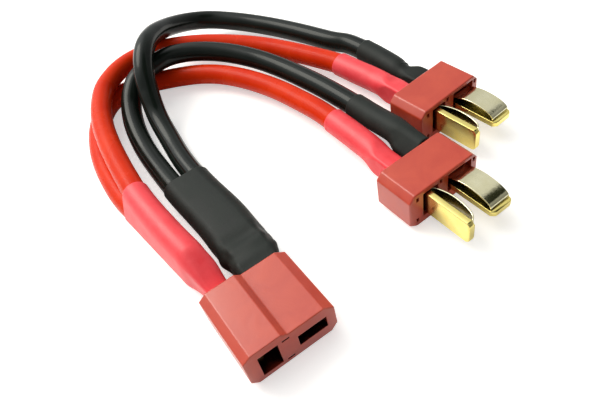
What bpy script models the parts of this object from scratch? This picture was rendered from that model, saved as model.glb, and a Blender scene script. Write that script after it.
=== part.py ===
"""Parallel battery harness: a flat-blade socket wired to two flat-blade plugs.

Standalone Blender 4.5 script, metres, +Z up. The socket lies flat side down with the
origin under its middle and its mating face towards -Y. The plugs lie flat side up.
"""
import math

import bmesh
import bpy
from mathutils import Matrix, Vector

# Housings: one cross-section serves both genders
HOUSING_WIDTH = 0.0160
HOUSING_THICKNESS = 0.0080
SOCKET_LENGTH = 0.0136
PLUG_LENGTH = 0.0083
STEP_DROP = 0.0009          # the half over the flat contact is this much thinner
STEP_EDGE_OFFSET = 0.0013   # upper edge of the step, beside the centre line
STEP_RUN = 0.0010           # width of the slanted riser
FLAT_CHAMFER = (0.0012, 0.0013)   # width and height on the flat face's corners
TALL_CHAMFER = (0.0014, 0.0010)   # on the thick half's corner
LOW_CHAMFER = (0.0018, 0.0014)    # on the thin half's corner
EDGE_ROUND = 0.00025
EDGE_ANGLE = math.radians(20)      # edges that turn by more than this are rounded
WELD_DISTANCE = 0.00001

# Contacts, placed by the middle of the plug's blade
CONTACT_OFFSET = 0.0037     # sideways from the centre line
CONTACT_HEIGHT = 0.0037     # above the flat face
BLADE_WIDTH = 0.0048
BLADE_THICKNESS = 0.00125
BLADE_REACH = 0.0096        # beyond the plug's mating face
BLADE_TIP_CHAMFER = 0.0006
BLADE_EDGE_ROUND = 0.00018
CONTACT_SEAT_DEPTH = 0.0015  # from a housing's back face to the shoulder behind the blade
TAB_WIDTH = 0.0040
TAB_LENGTH = 0.0050
TAB_CORNER = 0.0008
STRIP_WIDTH = 0.0044        # the socket's contact strip
STRIP_SETBACK = 0.0014      # of that strip behind the socket's mating face
MATE_GAP = 0.0001           # between a plug's blade and the socket's strip
FIT_GAP = 0.0002            # round a contact in its housing

# Leaf springs
SPRING_WIDTH = 0.0043
SPRING_THICKNESS = 0.0003
SPRING_SEAT = 0.0001        # spring's root off the blade
SPRING_ROOT = 0.0034        # length held inside the housing
SPRING_FACE_RISE = 0.0008   # of the spring where it leaves the housing
SPRING_RISE = 0.0015        # at the top of its bow
SPRING_PEAK = 0.42          # where the bow is highest, as a share of its free length
SPRING_TIP_SETBACK = 0.0005  # from the blade's tip
SPRING_STEPS = 14

# Openings in the housings
SLOT_LENGTH = 0.0052
SLOT_DEPTH = 0.0102
SPRING_ROOM = 0.00085       # for a flattened spring beside the blade
UPRIGHT_SLOT_WIDTH = 0.0035
FLAT_SLOT_WIDTH = 0.0026
POCKET_DEPTH = 0.0012       # shallow recess round each blade of a plug
POCKET_MARGIN = 0.0004
UPRIGHT_POCKET_REACH = 0.0023   # from the blade's middle, on its spring's side
FLAT_POCKET_REACH = 0.0030
PIT_SIZE = (0.0006, 0.0009)  # moulding pits in a plug's mating face
PIT_DEPTH = 0.0009
SLIT_SIZE = (0.0013, 0.0003)  # moulding slits in the socket's mating face
SLIT_INSET = 0.0009         # of a slit from the face beside it

# Wires, their stripped ends, solder and sleeves
WIRE_DIAMETER = 0.0045
CONDUCTOR_DIAMETER = 0.0022
CONDUCTOR_START = 0.0009    # behind a housing's back face
CONDUCTOR_PITCH = 0.0030    # between two conductors on one tab
CONDUCTOR_SEAT = 0.0001     # off the tab
CONDUCTOR_STRAIGHT = 0.00055  # of a conductor, in line with its wire
CORD_GAP = 0.0003           # where a cord's end meets its conductor, or a sleeve its housing
SOLDER_WALL = 0.0003
SOLDER_GAP = 0.0001
SOLDER_STEPS = 6            # in a quarter turn of its arch
SLEEVE_WALL = 0.00025
SLEEVE_GAP = 0.00012
SLEEVE_WAIST = 0.0068       # behind the back face, where a sleeve of one wire is narrowest
SLEEVE_NECK = 0.0077        # where a sleeve has its full size
SOCKET_SLEEVE_LENGTH = 0.0290
PLUG_SLEEVE_LENGTH = 0.0200
SLEEVE_PITCH = 0.0030       # between the rings of a sleeve along its wires
RING_SIDES = 16
WIRE_POINT_PITCH = 0.0064
WIRE_BEVEL_LEVEL = 3        # facets round a tube, as the curve's bevel counts them
CONDUCTOR_BEVEL_LEVEL = WIRE_BEVEL_LEVEL - 1
CURVE_SAMPLES = 24          # between two route points

# The plugs' back faces and their turn from the socket's direction
NEAR_PLUG_PLACE = (0.0364, 0.0084)
NEAR_PLUG_TURN = math.radians(2.2)
PLUG_CLEARANCE = 0.0007     # from the near plug's black sleeve to the far plug's side
PLUG_STAGGER = 0.0145       # of the far plug behind the near one
NEAR_SLEEVE_SIDE = (NEAR_PLUG_PLACE[0] + CONTACT_OFFSET + WIRE_DIAMETER / 2 + SLEEVE_GAP
                    + SLEEVE_WALL)
FAR_PLUG_PLACE = (NEAR_SLEEVE_SIDE + PLUG_CLEARANCE + HOUSING_WIDTH / 2,
                  NEAR_PLUG_PLACE[1] + PLUG_STAGGER)
FAR_PLUG_TURN = math.radians(5.4)

# First points of each wire: sideways, behind the socket's back face, and up
BLACK_FAR_START = ((0.0060, 0.0087, 0.0034), (0.0061, 0.0162, 0.0032))
BLACK_NEAR_START = ((0.0014, 0.0087, 0.0033), (0.0014, 0.0162, 0.0030))
RED_FAR_START = ((-0.0049, 0.0087, 0.00735), (-0.0057, 0.0162, 0.00735))
RED_NEAR_START = ((-0.0053, 0.0087, 0.00275), (-0.0062, 0.0162, 0.00275))

# Route points of each wire from there on
BLACK_FAR_ROUTE = (
    (0.0055, 0.0330, 0.0029),
    (0.0056, 0.0420, 0.0026), (0.0064, 0.0501, 0.0027), (0.0072, 0.0570, 0.0042),
    (0.0084, 0.0615, 0.0072), (0.0102, 0.0655, 0.0106), (0.0133, 0.0703, 0.0125),
    (0.0175, 0.0755, 0.0116), (0.0228, 0.0803, 0.0090), (0.0292, 0.0830, 0.0062),
    (0.0348, 0.0820, 0.0044), (0.0400, 0.0767, 0.0035), (0.0445, 0.0693, 0.0031),
    (0.0480, 0.0611, 0.0031), (0.0509, 0.0521, 0.0034),
)
BLACK_NEAR_ROUTE = (
    (0.0008, 0.0330, 0.0029),
    (0.0007, 0.0430, 0.0025), (0.0010, 0.0514, 0.0024), (0.0020, 0.0585, 0.0031),
    (0.0037, 0.0636, 0.0044), (0.0061, 0.0672, 0.0060), (0.0090, 0.0697, 0.0070),
    (0.0130, 0.0713, 0.0071), (0.0172, 0.0718, 0.0071), (0.0212, 0.0706, 0.0069),
    (0.0250, 0.0682, 0.0065), (0.0284, 0.0650, 0.0060), (0.0314, 0.0610, 0.0055),
    (0.0340, 0.0562, 0.0050), (0.0360, 0.0505, 0.0047), (0.0375, 0.0440, 0.0046),
    (0.0386, 0.0375, 0.0046),
)
RED_FAR_ROUTE = (
    (-0.0063, 0.0330, 0.00725),
    (-0.0060, 0.0410, 0.0071), (-0.0055, 0.0475, 0.0071), (-0.0048, 0.0535, 0.0071),
    (-0.0037, 0.0595, 0.0071), (-0.0018, 0.0655, 0.0071), (0.0012, 0.0715, 0.0070),
    (0.0052, 0.0752, 0.0070), (0.0092, 0.0772, 0.0069), (0.0133, 0.0778, 0.0067),
    (0.0175, 0.0777, 0.0062), (0.0222, 0.0765, 0.0055), (0.0270, 0.0738, 0.0049),
    (0.0310, 0.0706, 0.0044), (0.0345, 0.0671, 0.0040), (0.0378, 0.0629, 0.0037),
    (0.0404, 0.0583, 0.0036), (0.0427, 0.0530, 0.0037),
)
RED_NEAR_ROUTE = (
    (-0.0074, 0.0330, 0.00275),
    (-0.0084, 0.0410, 0.0025), (-0.0083, 0.0485, 0.0024), (-0.0076, 0.0548, 0.0024),
    (-0.0064, 0.0600, 0.0024), (-0.0045, 0.0652, 0.0024), (-0.0018, 0.0696, 0.0024),
    (0.0012, 0.0726, 0.0024), (0.0046, 0.0739, 0.0024), (0.0082, 0.0737, 0.0024),
    (0.0118, 0.0726, 0.0024), (0.0150, 0.0710, 0.0024), (0.0182, 0.0688, 0.0026),
    (0.0220, 0.0655, 0.0029), (0.0253, 0.0613, 0.0032), (0.0280, 0.0563, 0.0034),
    (0.0302, 0.0508, 0.0035), (0.0318, 0.0453, 0.0036), (0.0329, 0.0392, 0.0038),
)

# Their last points, sideways and back from the plug's place, to its tab
BLACK_FAR_END = (
    (0.0013, 0.0253, 0.0035), (0.0021, 0.0213, 0.0035), (0.0025, 0.0173, 0.0034),
    (0.0027, 0.0133, 0.0034), (0.0028, 0.0083, 0.0033),
)
BLACK_NEAR_END = (
    (0.0030, 0.0219, 0.0046), (0.0034, 0.0144, 0.0048), (0.0035, 0.0081, 0.0056),
)
RED_FAR_END = (
    (-0.0067, 0.0246, 0.0039), (-0.0052, 0.0201, 0.0040), (-0.0044, 0.0155, 0.0040),
    (-0.0036, 0.0111, 0.0040), (-0.0031, 0.0078, 0.0040),
)
RED_NEAR_END = (
    (-0.0027, 0.0244, 0.0041), (-0.0024, 0.0169, 0.0043), (-0.0022, 0.0080, 0.0043),
)

PARTS = bpy.data.collections.new("parallel_battery_harness")
CUTTERS = bpy.data.collections.new("cutters")


def start_scene():
    for old in list(bpy.data.objects):
        bpy.data.objects.remove(old, do_unlink=True)
    bpy.context.scene.collection.children.link(PARTS)
    bpy.context.scene.collection.children.link(CUTTERS)


def make_material(name, colour, roughness, metallic=0.0):
    material = bpy.data.materials.new(name)
    material.use_nodes = True
    shader = material.node_tree.nodes["Principled BSDF"]
    shader.inputs["Base Color"].default_value = (*colour, 1.0)
    shader.inputs["Roughness"].default_value = roughness
    shader.inputs["Metallic"].default_value = metallic
    material.diffuse_color = (*colour, 1.0)
    return material


def add_part(name, data, material, frame=None, place=Matrix()):
    part = bpy.data.objects.new(name, data)
    PARTS.objects.link(part)
    data.materials.append(material)
    part.parent = frame
    part.matrix_basis = place
    return part


def add_frame(name, matrix):
    """Empty at the middle of a housing's back face, on its flat side, +Y towards the cable."""
    frame = bpy.data.objects.new(name, None)
    PARTS.objects.link(frame)
    frame.matrix_basis = matrix
    return frame


# Blades, springs and housings start as flat outlines

def outline_curve(name, outline, thickness):
    curve = bpy.data.curves.new(name, "CURVE")
    curve.dimensions = "2D"
    curve.fill_mode = "BOTH"
    curve.extrude = thickness / 2
    curve.render_resolution_u = 0
    spline = curve.splines.new("POLY")
    spline.points.add(len(outline) - 1)
    for point, (x, y) in zip(spline.points, outline):
        point.co = (x, y, 0.0, 1.0)
    spline.use_cyclic_u = True
    return curve


def weld_and_round(part, radius, segments=1):
    weld = part.modifiers.new("weld", "WELD")
    weld.merge_threshold = WELD_DISTANCE
    rounding = part.modifiers.new("rounding", "BEVEL")
    rounding.width = radius
    rounding.segments = segments
    rounding.limit_method = "ANGLE"
    rounding.angle_limit = EDGE_ANGLE


def curve_to_mesh_part(part):
    """Replace a curve object by the mesh that it shows, so that it can be cut."""
    bpy.context.view_layer.update()
    evaluated = part.evaluated_get(bpy.context.evaluated_depsgraph_get())
    mesh = bpy.data.meshes.new_from_object(evaluated)
    welded = bmesh.new()
    welded.from_mesh(mesh)
    bmesh.ops.remove_doubles(welded, verts=welded.verts, dist=WELD_DISTANCE)
    welded.to_mesh(mesh)
    welded.free()
    name, frame, place = part.name, part.parent, part.matrix_basis.copy()
    material = part.data.materials[0]
    bpy.data.objects.remove(part, do_unlink=True)
    mesh.materials.clear()
    return add_part(name, mesh, material, frame, place)


def cut_box(part, low, high, place=Matrix()):
    """Cut the box from corner low to corner high, in the part's frame moved by place."""
    box = bmesh.new()
    middle = (Vector(low) + Vector(high)) / 2
    size = Vector(high) - Vector(low)
    bmesh.ops.create_cube(box, matrix=Matrix.Translation(middle) @ Matrix.Diagonal((*size, 1.0)))
    mesh = bpy.data.meshes.new(part.name + "_cutter")
    box.to_mesh(mesh)
    box.free()
    cutter = bpy.data.objects.new(mesh.name, mesh)
    CUTTERS.objects.link(cutter)
    cutter.parent = part.parent
    cutter.matrix_basis = place
    cutter.hide_render = True
    cutter.display_type = "WIRE"
    cut = part.modifiers.new("cut", "BOOLEAN")
    cut.operation = "DIFFERENCE"
    cut.solver = "EXACT"
    cut.object = cutter


def housing_outline(tall_side):
    """Cross-section from the flat face up, with the thick half towards tall_side * X."""
    half = HOUSING_WIDTH / 2
    top = HOUSING_THICKNESS
    low_top = top - STEP_DROP
    corners = [
        (-half + FLAT_CHAMFER[0], 0.0), (half - FLAT_CHAMFER[0], 0.0),
        (half, FLAT_CHAMFER[1]), (half, top - TALL_CHAMFER[1]),
        (half - TALL_CHAMFER[0], top), (STEP_EDGE_OFFSET, top),
        (STEP_EDGE_OFFSET - STEP_RUN, low_top), (-half + LOW_CHAMFER[0], low_top),
        (-half, low_top - LOW_CHAMFER[1]), (-half, FLAT_CHAMFER[1]),
    ]
    return [(tall_side * x, z) for x, z in corners]


def contact_place(tall_side, upright):
    """Middle of a plug's blade at the back face: width along X, spring towards -Z."""
    if upright:
        turn = Matrix.Rotation(tall_side * math.pi / 2, 4, "Y")
        return Matrix.Translation((tall_side * CONTACT_OFFSET, 0.0, CONTACT_HEIGHT)) @ turn
    return Matrix.Translation((-tall_side * CONTACT_OFFSET, 0.0, CONTACT_HEIGHT))


def housing_blank(name, length, tall_side, frame, material):
    place = Matrix.Translation((0.0, -length / 2, 0.0)) @ Matrix.Rotation(math.pi / 2, 4, "X")
    blank = add_part(name, outline_curve(name, housing_outline(tall_side), length), material,
                     frame, place)
    blank = curve_to_mesh_part(blank)
    weld_and_round(blank, EDGE_ROUND, segments=2)
    return blank


SOCKET_SIDE = -1
PLUG_SIDE = 1
STRIP_LEVEL = BLADE_THICKNESS + MATE_GAP   # the socket's strip lies this far from the blade


def socket_housing(frame, material):
    body = housing_blank("socket_housing", SOCKET_LENGTH, SOCKET_SIDE, frame, material)
    front = -SOCKET_LENGTH
    strip_half = BLADE_THICKNESS / 2 + FIT_GAP
    for upright, slot_width in ((True, UPRIGHT_SLOT_WIDTH), (False, FLAT_SLOT_WIDTH)):
        place = contact_place(SOCKET_SIDE, upright)
        slot_low = -BLADE_THICKNESS / 2 - SPRING_ROOM
        cut_box(body, (-SLOT_LENGTH / 2, front - EDGE_ROUND, slot_low),
                (SLOT_LENGTH / 2, front + SLOT_DEPTH, slot_low + slot_width), place)
        half_width = STRIP_WIDTH / 2 + FIT_GAP
        cut_box(body, (-half_width, front + STRIP_SETBACK - FIT_GAP, STRIP_LEVEL - strip_half),
                (half_width, -CONTACT_SEAT_DEPTH + FIT_GAP, STRIP_LEVEL + strip_half), place)
        half_tab = TAB_WIDTH / 2 + FIT_GAP
        cut_box(body, (-half_tab, -CONTACT_SEAT_DEPTH, STRIP_LEVEL - strip_half),
                (half_tab, EDGE_ROUND, STRIP_LEVEL + strip_half), place)
    slit_x = STEP_EDGE_OFFSET - STEP_RUN / 2
    for slit_z in (SLIT_INSET, HOUSING_THICKNESS - STEP_DROP - SLIT_INSET):
        cut_box(body, (-slit_x - SLIT_SIZE[0] / 2, front - EDGE_ROUND, slit_z - SLIT_SIZE[1] / 2),
                (-slit_x + SLIT_SIZE[0] / 2, front + PIT_DEPTH, slit_z + SLIT_SIZE[1] / 2))
    return body


def plug_housing(name, frame, material):
    body = housing_blank(name, PLUG_LENGTH, PLUG_SIDE, frame, material)
    front = -PLUG_LENGTH
    half_thickness = BLADE_THICKNESS / 2 + FIT_GAP
    root_top = -BLADE_THICKNESS / 2 - SPRING_SEAT - SPRING_THICKNESS - FIT_GAP
    for upright, pocket_reach in ((True, UPRIGHT_POCKET_REACH), (False, FLAT_POCKET_REACH)):
        place = contact_place(PLUG_SIDE, upright)
        half_width = BLADE_WIDTH / 2 + FIT_GAP
        cut_box(body, (-half_width, front - EDGE_ROUND, -half_thickness),
                (half_width, -CONTACT_SEAT_DEPTH + FIT_GAP, half_thickness), place)
        half_tab = TAB_WIDTH / 2 + FIT_GAP
        cut_box(body, (-half_tab, -CONTACT_SEAT_DEPTH, -half_thickness),
                (half_tab, EDGE_ROUND, half_thickness), place)
        cut_box(body, (-half_width, front, root_top),
                (half_width, front + SPRING_ROOT + FIT_GAP, 0.0), place)
        pocket_half = BLADE_WIDTH / 2 + POCKET_MARGIN
        cut_box(body, (-pocket_half, front - EDGE_ROUND, -pocket_reach),
                (pocket_half, front + POCKET_DEPTH, half_thickness + POCKET_MARGIN), place)
    edge = HOUSING_WIDTH / 2 - FLAT_CHAMFER[0]
    pits = ((-edge - PIT_SIZE[0] / 2, FLAT_CHAMFER[1]), (edge - PIT_SIZE[0], FLAT_CHAMFER[1]),
            (edge - PIT_SIZE[0], HOUSING_THICKNESS - TALL_CHAMFER[1] - PIT_SIZE[1] / 2),
            (STEP_EDGE_OFFSET - STEP_RUN / 2, PIT_SIZE[1]))
    for x, z in pits:
        cut_box(body, (x - PIT_SIZE[0] / 2, front - EDGE_ROUND, z - PIT_SIZE[1] / 2),
                (x + PIT_SIZE[0] / 2, front + PIT_DEPTH, z + PIT_SIZE[1] / 2))
    return body


def contact_outline(front, width):
    """Plan of a contact: blade with a chamfered tip, shoulder, and rounded solder tab."""
    half = width / 2
    tab = TAB_WIDTH / 2
    right = [
        (half - BLADE_TIP_CHAMFER, front), (half, front + BLADE_TIP_CHAMFER),
        (half, -CONTACT_SEAT_DEPTH), (tab, -CONTACT_SEAT_DEPTH),
        (tab, TAB_LENGTH - TAB_CORNER), (tab - TAB_CORNER, TAB_LENGTH),
    ]
    return right + [(-x, y) for x, y in reversed(right)]


def contact(name, front, width, level, place, frame, material):
    outline = contact_outline(front, width)
    part = add_part(name, outline_curve(name, outline, BLADE_THICKNESS), material, frame,
                    place @ Matrix.Translation((0.0, 0.0, level)))
    weld_and_round(part, BLADE_EDGE_ROUND)
    return part


def spring_height(share):
    """Rise of the spring off the blade along its free length, steepest at the tip."""
    if share < SPRING_PEAK:
        lift = math.sin(share / SPRING_PEAK * math.pi / 2)
        return SPRING_FACE_RISE + (SPRING_RISE - SPRING_FACE_RISE) * lift
    fall = (share - SPRING_PEAK) / (1.0 - SPRING_PEAK)
    return SPRING_RISE * math.sqrt(max(0.0, 1.0 - fall * fall))


def offset_line(line, distance):
    """The same open line moved sideways by distance, to the left of its direction."""
    moved = []
    for index, point in enumerate(line):
        before = Vector(line[max(index - 1, 0)])
        after = Vector(line[min(index + 1, len(line) - 1)])
        along = (after - before).normalized()
        moved.append((point[0] - distance * along.y, point[1] + distance * along.x))
    return moved


def leaf_spring(name, place, frame, material):
    """Bowed strip: its side view, drawn from root to tip, swept across its width."""
    free_length = BLADE_REACH - SPRING_TIP_SETBACK - SPRING_THICKNESS
    underside = [(PLUG_LENGTH - SPRING_ROOT, 0.0), (PLUG_LENGTH - POCKET_DEPTH, 0.0)]
    for step in range(SPRING_STEPS + 1):
        share = math.sin(step / SPRING_STEPS * math.pi / 2)
        underside.append((PLUG_LENGTH + free_length * share, spring_height(share)))
    outline = underside + offset_line(underside, SPRING_THICKNESS)[::-1]
    side_view = Matrix(((0.0, 0.0, 1.0, 0.0),
                        (-1.0, 0.0, 0.0, 0.0),
                        (0.0, -1.0, 0.0, -BLADE_THICKNESS / 2 - SPRING_SEAT),
                        (0.0, 0.0, 0.0, 1.0)))
    return add_part(name, outline_curve(name, outline, SPRING_WIDTH), material, frame,
                    place @ side_view)


# Wires run along smooth curves through their route points

def moved(points, place):
    return tuple((x + place[0], y + place[1], z) for x, y, z in points)


def smooth_curve(route):
    """Catmull-Rom curve through the route's points."""
    points = [Vector(point) for point in route]
    points = [2 * points[0] - points[1], *points, 2 * points[-1] - points[-2]]
    curve = []
    for a, b, c, d in zip(points, points[1:], points[2:], points[3:]):
        for step in range(CURVE_SAMPLES):
            t = step / CURVE_SAMPLES
            curve.append(0.5 * (2 * b + (c - a) * t + (2 * a - 5 * b + 4 * c - d) * t ** 2
                                + (3 * b - a - 3 * c + d) * t ** 3))
    curve.append(points[-2])
    return curve


def evenly_spaced(curve, pitch):
    """Points along the curve, as near to pitch apart as its length allows."""
    lengths = [0.0]
    for before, after in zip(curve, curve[1:]):
        lengths.append(lengths[-1] + (after - before).length)
    count = max(2, round(lengths[-1] / pitch))
    spaced = []
    index = 0
    for step in range(count + 1):
        target = lengths[-1] * step / count
        while index < len(curve) - 2 and lengths[index + 1] < target:
            index += 1
        share = (target - lengths[index]) / (lengths[index + 1] - lengths[index])
        spaced.append(curve[index].lerp(curve[index + 1], share))
    return spaced


def tube(name, points, diameter, bevel_level, material, frame=None):
    curve = bpy.data.curves.new(name, "CURVE")
    curve.dimensions = "3D"
    curve.bevel_depth = diameter / 2
    curve.bevel_resolution = bevel_level
    curve.use_fill_caps = True
    curve.render_resolution_u = 0
    spline = curve.splines.new("POLY")
    spline.points.add(len(points) - 1)
    for point, position in zip(spline.points, points):
        point.co = (*position, 1.0)
    return add_part(name, curve, material, frame)


def place_on_line(line, y):
    """Where a line running towards +Y crosses the plane at y, as (x, z)."""
    for before, after in zip(line, line[1:]):
        if after.y >= y:
            point = before.lerp(after, (y - before.y) / (after.y - before.y))
            return Vector((point.x, point.z))
    return Vector((line[-1].x, line[-1].z))


class Joint:
    """One contact's tab with the stripped wires soldered to it, in its housing's frame."""

    def __init__(self, frame, matrix, place, level, solder_side, wires, sleeve_length):
        self.frame = frame
        self.place = place
        self.level = level
        self.solder_side = solder_side
        to_frame = matrix.inverted()
        self.wires = [[to_frame @ point for point in wire] for wire in wires]
        self.sleeve_length = sleeve_length
        self.conductor_level = level + solder_side * (
            BLADE_THICKNESS / 2 + CONDUCTOR_SEAT + CONDUCTOR_DIAMETER / 2)

    def offsets(self):
        """Where the conductors lie across the tab."""
        if len(self.wires) == 1:
            return [0.0]
        return [-CONDUCTOR_PITCH / 2, CONDUCTOR_PITCH / 2]

    def on_tab(self, x, y, z):
        return self.place @ Vector((x, y, z))

    def conductor_lines(self):
        """Each conductor along the tab, then on to the insulation's cut end."""
        lines = []
        for offset, wire in zip(self.offsets(), self.wires):
            start = self.on_tab(offset, CONDUCTOR_START, self.conductor_level)
            bend = self.on_tab(offset, TAB_LENGTH, self.conductor_level)
            back = (wire[0] - wire[1]).normalized()
            straight = wire[0] + back * (CORD_GAP + CONDUCTOR_STRAIGHT)
            lines.append([start, bend, straight, wire[0] + back * CORD_GAP])
        return lines


def solder(name, joint, material):
    """An arch over the conductors, its feet on the tab."""
    inner = CONDUCTOR_DIAMETER / 2 + SOLDER_GAP
    span = max(joint.offsets())
    centre = CONDUCTOR_SEAT + CONDUCTOR_DIAMETER / 2

    def arch(radius):
        line = [(span + radius, SOLDER_GAP)]
        for step in range(SOLDER_STEPS + 1):
            angle = math.pi / 2 * step / SOLDER_STEPS
            line.append((span + radius * math.cos(angle), centre + radius * math.sin(angle)))
        return line + [(-x, z) for x, z in reversed(line)]

    outline = arch(inner + SOLDER_WALL) + arch(inner)[::-1]
    length = TAB_LENGTH - CONDUCTOR_START - SOLDER_GAP
    side = joint.solder_side
    level = joint.level + side * BLADE_THICKNESS / 2
    stand = Matrix(((1.0, 0.0, 0.0, 0.0),
                    (0.0, 0.0, -side, CONDUCTOR_START + length / 2),
                    (0.0, side, 0.0, level),
                    (0.0, 0.0, 0.0, 1.0)))
    return add_part(name, outline_curve(name, outline, length), material, joint.frame,
                    joint.place @ stand)


def hull_ring(discs, grow):
    """Ring round a set of (centre, radius) discs, with one point for each direction."""
    ring = []
    for index in range(RING_SIDES):
        angle = 2 * math.pi * (index + 0.5) / RING_SIDES
        normal = Vector((math.cos(angle), math.sin(angle)))
        centre, radius = max(discs, key=lambda disc: disc[0].dot(normal) + disc[1])
        ring.append(centre + normal * (radius + grow))
    return ring


def eased(low, high, value):
    share = min(1.0, max(0.0, (value - low) / (high - low)))
    return share * share * (3.0 - 2.0 * share)


def mixed(ring_a, ring_b, share):
    return [a.lerp(b, share) for a, b in zip(ring_a, ring_b)]


def sleeve_rings(joint):
    """Heat-shrink rings: round the tab and solder, then over the insulated wires."""
    half_width = TAB_WIDTH / 2 - BLADE_EDGE_ROUND
    half_thickness = BLADE_THICKNESS / 2 - BLADE_EDGE_ROUND
    discs = []
    for x in (-half_width, half_width):
        for z in (joint.level - half_thickness, joint.level + half_thickness):
            corner = joint.on_tab(x, 0.0, z)
            discs.append((Vector((corner.x, corner.z)), BLADE_EDGE_ROUND))
    solder_radius = CONDUCTOR_DIAMETER / 2 + SOLDER_GAP + SOLDER_WALL
    foot_level = joint.level + joint.solder_side * (BLADE_THICKNESS / 2 + SOLDER_GAP)
    for offset in joint.offsets():
        over = joint.on_tab(offset, 0.0, joint.conductor_level)
        discs.append((Vector((over.x, over.z)), solder_radius))
        for side in (-solder_radius, solder_radius):
            foot = joint.on_tab(offset + side, 0.0, foot_level)
            discs.append((Vector((foot.x, foot.z)), 0.0))
    tab_ring = hull_ring(discs, SLEEVE_GAP)
    waist_ring, waist = tab_ring, TAB_LENGTH
    if len(joint.wires) == 1:
        line = joint.conductor_lines()[0]
        waist_ring = hull_ring([(place_on_line(line, SLEEVE_WAIST), solder_radius)], SLEEVE_GAP)
        waist = SLEEVE_WAIST
    stations = [CORD_GAP, TAB_LENGTH / 2, TAB_LENGTH]
    stations += [(TAB_LENGTH + SLEEVE_WAIST) / 2, SLEEVE_WAIST, (SLEEVE_WAIST + SLEEVE_NECK) / 2]
    count = math.ceil((joint.sleeve_length - SLEEVE_NECK) / SLEEVE_PITCH)
    for step in range(count + 1):
        stations.append(SLEEVE_NECK + (joint.sleeve_length - SLEEVE_NECK) * step / count)
    rings = []
    for y in stations:
        wires = [(place_on_line(wire, y), WIRE_DIAMETER / 2) for wire in joint.wires]
        ring = mixed(tab_ring, waist_ring, eased(TAB_LENGTH, SLEEVE_WAIST, y))
        ring = mixed(ring, hull_ring(wires, SLEEVE_GAP), eased(waist, SLEEVE_NECK, y))
        rings.append([Vector((point.x, y, point.y)) for point in ring])
    return rings


def sleeve(name, joint, material):
    """Loft through the rings, left open at both ends, with its wall outside them."""
    skin = bmesh.new()
    rings = [[skin.verts.new(point) for point in ring] for ring in sleeve_rings(joint)]
    for ring, following in zip(rings, rings[1:]):
        for index in range(RING_SIDES):
            beside = (index + 1) % RING_SIDES
            skin.faces.new((ring[index], following[index], following[beside], ring[beside]))
    mesh = bpy.data.meshes.new(name)
    skin.to_mesh(mesh)
    skin.free()
    mesh.shade_smooth()
    part = add_part(name, mesh, material, joint.frame)
    wall = part.modifiers.new("wall", "SOLIDIFY")
    wall.thickness = SLEEVE_WALL
    wall.offset = 1.0
    return part


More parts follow.
